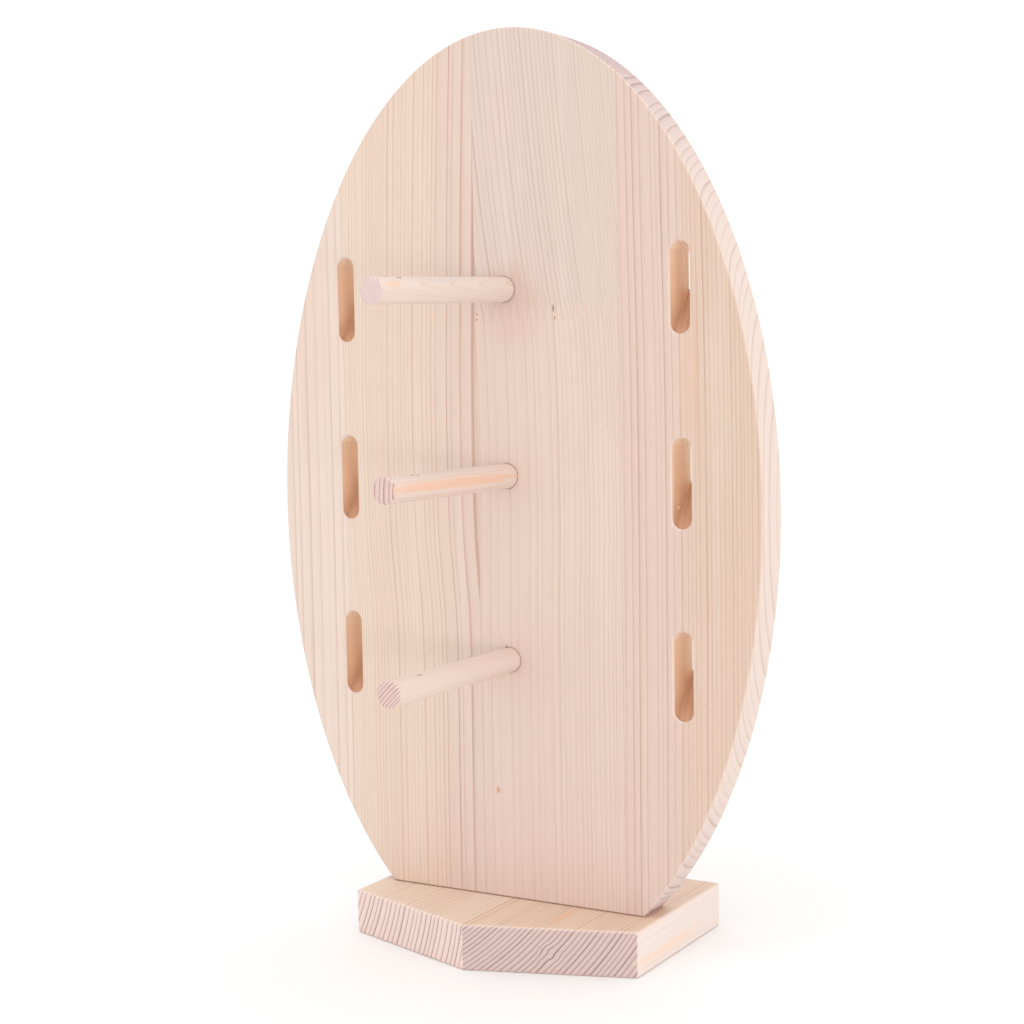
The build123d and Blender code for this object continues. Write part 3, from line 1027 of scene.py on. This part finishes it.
# %% How the pegs are stained, painted with shade, and torn
PEG_PALE = (chip(228, 210, 202), chip(224, 205, 194), chip(224, 205, 194), chip(206, 174, 154))
END_PALE, END_DARK = chip(214, 188, 180), chip(150, 112, 106)
TEAR = chip(178, 144, 120)
TEAR_DEPTH = 4.75
peg_finishes = {  # tears: (back from the tip, degrees up from level, (wide, long, deep)), in mm
    "top_peg": {
        "rings_face": (1.0, -0.5),
        "ring": 1.2,
        "tears": [(7.0, 82.0, (1.2, 3.4, 0.7)), (14.5, 66.0, (0.8, 2.2, 0.8))],
        "ends": (chip(216, 194, 190), chip(184, 154, 150)),
        "stains_and_shade": [((4.5, 2.3, 8.0), (2.5, 1.0, 6.5), chip(236, 198, 168), 0.75),
                   # painted shade: a grey patch along the top of the peg
                   ((2.5, 4.3, 34.0), (4.0, 1.9, 32.0), chip(212, 200, 194), 0.65)],
    },
    "middle_peg": {
        "rings_face": (1.0, 0.05),
        "ring": 1.9,
        "tears": [(16.5, 72.0, (0.8, 1.0, 0.95)), (19.5, 64.0, (0.7, 0.9, 0.9))],
        "ends": (END_PALE, END_DARK),
        "stains_and_shade": [((5.2, 0.4, 40.0), (2.6, 2.3, 62.0), chip(230, 184, 154), 0.7),
                   # painted shade: a grey patch along the top of the peg
                   ((2.5, 4.3, 30.0), (4.0, 1.6, 40.0), chip(214, 196, 190), 0.5)],
    },
    "bottom_peg": {
        "rings_face": (1.0, 1.0),
        "ring": 1.8,
        "tears": [(18.0, 68.0, (0.8, 1.3, 0.9))],
        "ends": (END_PALE, END_DARK),
        "stains_and_shade": [],
    },
}


def stain_and_shade_marks(finish, start, tip):
    """The stains and painted shade of one peg: each is listed as (sideways, up, back from the tip), size,
    colour, strength.
    """
    made = []
    for (sideways, raised, back), reach, colour, strength in finish["stains_and_shade"]:
        along = (start - tip).normalized() * back + tip / MM
        made.append(flaw((along.x + sideways, -along.z - raised, along.y), reach, strength, colour, run=12.0))
    return made


def tear_marks(finish, start, tip):
    """Brown, ragged wood round each torn hollow of one peg."""
    made = []
    for back, raised, (wide, long, _) in finish["tears"]:
        place = tip / MM + (start - tip).normalized() * back
        turn = math.radians(raised)
        hollow = (place.x + TEAR_DEPTH * math.cos(turn), -place.z - TEAR_DEPTH * math.sin(turn), place.y)
        made.append(flaw(hollow, (0.9 * wide, 0.9 * wide, long), 0.65, TEAR, run=2.0))
    return made


for piece, finish in peg_finishes.items():
    print(piece, "has", len(finish["tears"]), "tears and", len(finish["stains_and_shade"]), "stains_and_shade")

# %% [markdown]
# A stick's pith lies well outside it, so its rings are nearly straight lines. Its distance is the same for
# all three, and only the direction turns. The chamfer cuts the fibres too, so end grain starts there.

# %% The three pegs
PITH_AWAY = 70.0
RING_REACH = 6.0
PEG_SEED, PEG_SEED_STEP = 26.0, 3

for number, (piece, finish) in enumerate(peg_finishes.items()):
    start, tip = peg_ends[piece]
    tears = [(back * MM, raised, tuple(part * MM for part in size)) for back, raised, size in finish["tears"]]
    peg = dowel(piece + "_turned", start, tip, tears)
    middle = (start + tip) / 2 / MM
    turn_x, turn_y = Vector(finish["rings_face"]).normalized()
    stick = {
        "seed": PEG_SEED + number * PEG_SEED_STEP,
        "face": -middle.z,
        "pith": (middle.x + PITH_AWAY * turn_x, -middle.z + PITH_AWAY * turn_y),
        "ring_widths": [(middle.x - RING_REACH, finish["ring"]), (middle.x + RING_REACH, finish["ring"])],
        "line_strength": (0.55, 0.55),
        "seams": [],
        "colours": PEG_PALE,
        "side_colours": (PEG_PALE[1], PEG_PALE[3]),
        "side_strength": 1.0,
        "end_colours": finish["ends"],
        "cut_from": (0.45, 0.7),
        "rubbed_and_highlit": 0.12,
        # painted contact shadow on the peg, where it goes into the board
        "contact_shadow": [(FACE_Y - 0.9, FACE_Y - 0.3, 0.5)],
        "marks": stain_and_shade_marks(finish, start, tip) + tear_marks(finish, start, tip),
    }
    peg.data.materials.append(pine(piece + "_pine", {**plain_pine, **lying, **stick}))
    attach(peg, "root")
    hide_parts(piece)

# %% [markdown]
# Two countersunk screws come up through the base and hold the board. Only their heads show, and only from
# below, but a pair of real screws is worth having. A head, a shank and a core are one circle, extruded and
# resized step by step, much as a lathe would follow the outline.

# %% Head, shank and core of a screw
SCREW_SIDES = 48
SCREW_LOW, SCREW_HIGH = (corner.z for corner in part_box("right_screw"))
HEAD_RADIUS = (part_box("right_screw")[1].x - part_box("right_screw")[0].x) / 2 - SPARE
HEAD_EASE = 0.12 * MM
HEAD_RIM = 0.3 * MM
SHANK_RADIUS = 1.95 * MM
CORE_RADIUS = 1.4 * MM
CONE_TOP = SCREW_LOW + 2.0 * MM
THREAD_LOW = SCREW_LOW + 18.0 * MM
SHANK_TAPER = 0.6 * MM
TIP_LOW = SCREW_HIGH - 4.0 * MM
POINT_LOW, POINT_RADIUS = SCREW_HIGH - 0.2 * MM, 0.15 * MM
POINT_END_RADIUS = 0.02 * MM


def screw_body(outline):
    """One closed, turned shape from a list of (height, radius) in metres, up from the head's face."""
    bpy.ops.object.select_all(action="DESELECT")
    bottom, radius = outline[0]
    bpy.ops.mesh.primitive_circle_add(vertices=SCREW_SIDES, radius=radius, fill_type="NGON",
                                      location=(0, 0, bottom))
    body = bpy.context.object
    settle(body)
    bpy.ops.object.mode_set(mode="EDIT")
    bpy.ops.mesh.select_all(action="SELECT")
    for (low, low_radius), (high, high_radius) in zip(outline, outline[1:]):
        extrude_up(high - low)
        change_width(high_radius / low_radius, high)
    close_up()
    return body


screw = screw_body([
    (SCREW_LOW, HEAD_RADIUS + SPARE - HEAD_EASE), (SCREW_LOW + HEAD_EASE, HEAD_RADIUS),
    (SCREW_LOW + HEAD_RIM, HEAD_RADIUS), (CONE_TOP, SHANK_RADIUS), (THREAD_LOW, SHANK_RADIUS),
    (THREAD_LOW + SHANK_TAPER, CORE_RADIUS), (TIP_LOW, CORE_RADIUS), (POINT_LOW, POINT_RADIUS),
    (SCREW_HIGH, POINT_END_RADIUS)])
print("screw body:", len(screw.data.polygons), "faces,", round((SCREW_HIGH - SCREW_LOW) / MM, 1), "mm long")

# %% [markdown]
# A thread is one small profile carried up a helix. Blender's Screw modifier does just that, with a
# three-cornered circle as the profile. Its ends are left open, so they are filled after it is applied. The
# thread's foot lies a little inside the core, so that no gap shows.

# %% The screw's thread
THREAD_PITCH = 1.8 * MM
THREAD_TURNS = 12
THREAD_STEPS = 32
THREAD_HEIGHT = SHANK_RADIUS - CORE_RADIUS + 0.14 * MM
THREAD_FOOT = CORE_RADIUS - 0.1 * MM
corner_reach = THREAD_HEIGHT / 1.5
bpy.ops.object.select_all(action="DESELECT")
bpy.ops.mesh.primitive_circle_add(vertices=3, radius=corner_reach, fill_type="NOTHING",
                                  location=(THREAD_FOOT + corner_reach / 2, 0.0, THREAD_LOW),
                                  rotation=(-math.pi / 2, -math.pi / 2, 0.0))
thread = bpy.context.object
settle(thread)
for vertex in thread.data.vertices:
    print("thread profile corner in mm:", [round(v / MM, 2) for v in vertex.co])
helix = thread.modifiers.new("helix", "SCREW")
helix.axis = "Z"
helix.screw_offset = THREAD_PITCH
helix.iterations = THREAD_TURNS
helix.steps = helix.render_steps = THREAD_STEPS
helix.use_merge_vertices = False
bpy.ops.object.modifier_apply(modifier=helix.name)
bpy.ops.object.mode_set(mode="EDIT")
bpy.ops.mesh.select_all(action="DESELECT")
bpy.ops.mesh.select_mode(type="EDGE")
bpy.ops.mesh.select_non_manifold()
bpy.ops.mesh.fill()
bpy.ops.mesh.select_mode(type="VERT")
close_up()
print("thread:", THREAD_TURNS, "turns,", len(thread.data.polygons), "faces")

# %% [markdown]
# A cross drive is two crossed blades cut out of the head. Each blade is a box that is narrower at its inner
# end, as a driver's tip is, and it goes half above the head's face, so that the cut is clean.

# %% The cross in the screw's head
CROSS_LENGTH = 4.4 * MM
CROSS_WIDTH = 0.9 * MM
CROSS_DEPTH = 1.7 * MM
CROSS_TAPER = 0.45


def taper_top(blade):
    """Narrow the end of a blade that goes into the head."""
    for vertex in blade.data.vertices:
        vertex.select = vertex.co.z > SCREW_LOW
    for flat in (*blade.data.edges, *blade.data.polygons):
        flat.select = all(blade.data.vertices[v].select for v in flat.vertices)
    bpy.ops.object.mode_set(mode="EDIT")
    change_width(CROSS_TAPER, SCREW_LOW)
    bpy.ops.object.mode_set(mode="OBJECT")


for quarter in (0.0, math.pi / 2):
    bpy.ops.object.select_all(action="DESELECT")
    bpy.ops.mesh.primitive_cube_add(size=1.0, location=(0, 0, 0), rotation=(0, 0, quarter))
    blade = bpy.context.object
    blade.scale = (CROSS_LENGTH, CROSS_WIDTH, 2 * CROSS_DEPTH)
    blade.location = (0.0, 0.0, SCREW_LOW)
    settle(blade)
    taper_top(blade)
    cut_away(screw, blade)
print("head with its cross:", len(screw.data.polygons), "faces")

# %% [markdown]
# The screws are steel with a thin coat of bright zinc. Zinc is a metal, so its colour is its reflection, and
# it clouds a little as it ages. Fine scratches along the screw catch the light.

# %% Zinc plate
def zinc(name):
    """Bright zinc plate with cloudy patches and fine scratches."""
    material = bpy.data.materials.new(name)
    material.use_nodes = True
    tree = material.node_tree
    shader = tree.nodes["Principled BSDF"]
    point = grain_space(tree, False)
    clouds = streaks(tree, point, across=2.2, along=2.2, seed=61.0, detail=3.0)
    scratches = streaks(tree, point, across=0.15, along=3.0, seed=67.0)
    colour = blend_colours(tree, fade(tree, clouds, 0.35, 0.65), chip(176, 178, 180), chip(206, 206, 202))
    bright = fade(tree, scratches, 0.6, 0.75, high=0.4)
    tree.links.new(blend_colours(tree, bright, colour, chip(226, 226, 224)), shader.inputs["Base Color"])
    tree.links.new(scale_to(tree, clouds, 0.3, 0.7, low=0.28, high=0.45), shader.inputs["Roughness"])
    shader.inputs["Metallic"].default_value = 1.0
    bump = tree.nodes.new("ShaderNodeBump")
    bump.inputs["Strength"].default_value = 0.2
    bump.inputs["Distance"].default_value = 0.03 * MM
    feed(tree, bump.inputs["Height"], scratches)
    tree.links.new(bump.outputs[0], shader.inputs["Normal"])
    print("material", name, "with", len(tree.nodes), "nodes")
    return material


zinc_plate = zinc("zinc_plate")

# %% [markdown]
# The screw is modelled once, on the Z axis, and then copied. The two screws aren't linked, because each
# needs its own mesh with its own place in it.

# %% The two screws in their places
select_only(screw)
thread.select_set(True)
bpy.ops.object.join()
bpy.ops.object.shade_smooth_by_angle(angle=SMOOTH_ANGLE)
screw.data.materials.clear()
screw.data.materials.append(zinc_plate)
bpy.ops.object.duplicate(linked=False)
second = bpy.context.object
for holder, piece in ((screw, "left_screw"), (second, "right_screw")):
    low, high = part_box(piece)
    holder.name = piece + "_turned"
    holder.location = ((low.x + high.x) / 2, 0.0, 0.0)
    settle(holder)
    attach(holder, "root")
    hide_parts(piece)
    print(holder.name, "has", len(holder.data.polygons), "faces")

# %% [markdown]
# The stand is shown as a shop would show it: on a white sweep in a bright tent of light. The sweep is one
# large matt plane, which is not attached to the stand. A white world gives the even light.

# %% Floor and light tent
SWEEP_SIZE = 12.0
SWEEP_GREY = 0.9
TENT_STRENGTH = 1.15
bpy.ops.object.select_all(action="DESELECT")
bpy.ops.mesh.primitive_plane_add(size=SWEEP_SIZE, location=(0.0, 0.0, 0.0))
floor = bpy.context.object
floor.name = "floor"
sweep = bpy.data.materials.new("white_sweep")
sweep.use_nodes = True
matt = sweep.node_tree.nodes["Principled BSDF"]
matt.inputs["Base Color"].default_value = (SWEEP_GREY, SWEEP_GREY, SWEEP_GREY, 1.0)
matt.inputs["Roughness"].default_value = 0.9
floor.data.materials.append(sweep)

world = bpy.data.worlds.new("light_tent")
world.use_nodes = True
sky = world.node_tree.nodes["Background"]
sky.inputs["Color"].default_value = (1.0, 1.0, 1.0, 1.0)
sky.inputs["Strength"].default_value = TENT_STRENGTH
bpy.context.scene.world = world
print("floor", SWEEP_SIZE, "m wide, tent strength", TENT_STRENGTH)

# %% [markdown]
# Even light alone makes a shape look flat. Three large soft lamps give it a direction, so that the pegs and
# the rounded edges still read as round. The low, wide one reaches the slanted fronts of the base.

# %% Three soft lamps
def soft_lamp(name, place, target, size, watts):
    """A rectangular area lamp, `size` = (width, height), that looks at a point."""
    lamp = bpy.data.lights.new(name, "AREA")
    lamp.shape = "RECTANGLE"
    lamp.size, lamp.size_y = size
    lamp.energy = watts
    holder = bpy.data.objects.new(name, lamp)
    holder.location = place
    holder.rotation_euler = (Vector(target) - Vector(place)).to_track_quat("-Z", "Y").to_euler()
    bpy.context.scene.collection.objects.link(holder)
    print(name, "gives", watts, "W from", place)


middle = (cad_low + cad_high) / 2
soft_lamp("right_lamp", place=(1.2, -0.7, 0.45), target=middle, size=(0.9, 0.9), watts=0.9)
soft_lamp("low_lamp", place=(0.75, -1.0, 0.08), target=(0.0, 0.0, 0.12), size=(1.2, 0.14), watts=2.4)
soft_lamp("top_lamp", place=(0.1, -0.4, 1.5), target=middle, size=(0.9, 0.9), watts=1.5)

# %% [markdown]
# The camera stands to the right of the stand and a little above it, and looks slightly down, so that the
# rim, the tips of the pegs and the base's top all show. Its turn is built from three angles: yaw to the
# side, pitch downwards, and the small roll of a camera held by hand.

# %% Camera
CAMERA_PLACE = (0.372648, -0.643543, 0.233339)
YAW, PITCH, ROLL = 0.5285, 0.0799, -0.0173
camera_data = bpy.data.cameras.new("camera")
camera_data.lens = 65.37
camera_data.sensor_width = 36.0
camera_data.clip_start = 0.02
camera = bpy.data.objects.new("camera", camera_data)
bpy.context.scene.collection.objects.link(camera)
bpy.context.scene.camera = camera
ahead = Vector((-math.sin(YAW) * math.cos(PITCH), math.cos(YAW) * math.cos(PITCH), -math.sin(PITCH)))
level = Vector((math.cos(YAW), math.sin(YAW), 0.0))
upward = level.cross(ahead)
right = math.cos(ROLL) * level + math.sin(ROLL) * upward
top = math.cos(ROLL) * upward - math.sin(ROLL) * level
turn = Matrix((right, top, -ahead)).transposed().to_4x4()
camera.matrix_world = Matrix.Translation(CAMERA_PLACE) @ turn
bpy.context.scene.view_settings.view_transform = "Standard"
print("camera", round((Vector(CAMERA_PLACE) - middle).length, 3), "m from the stand's middle")
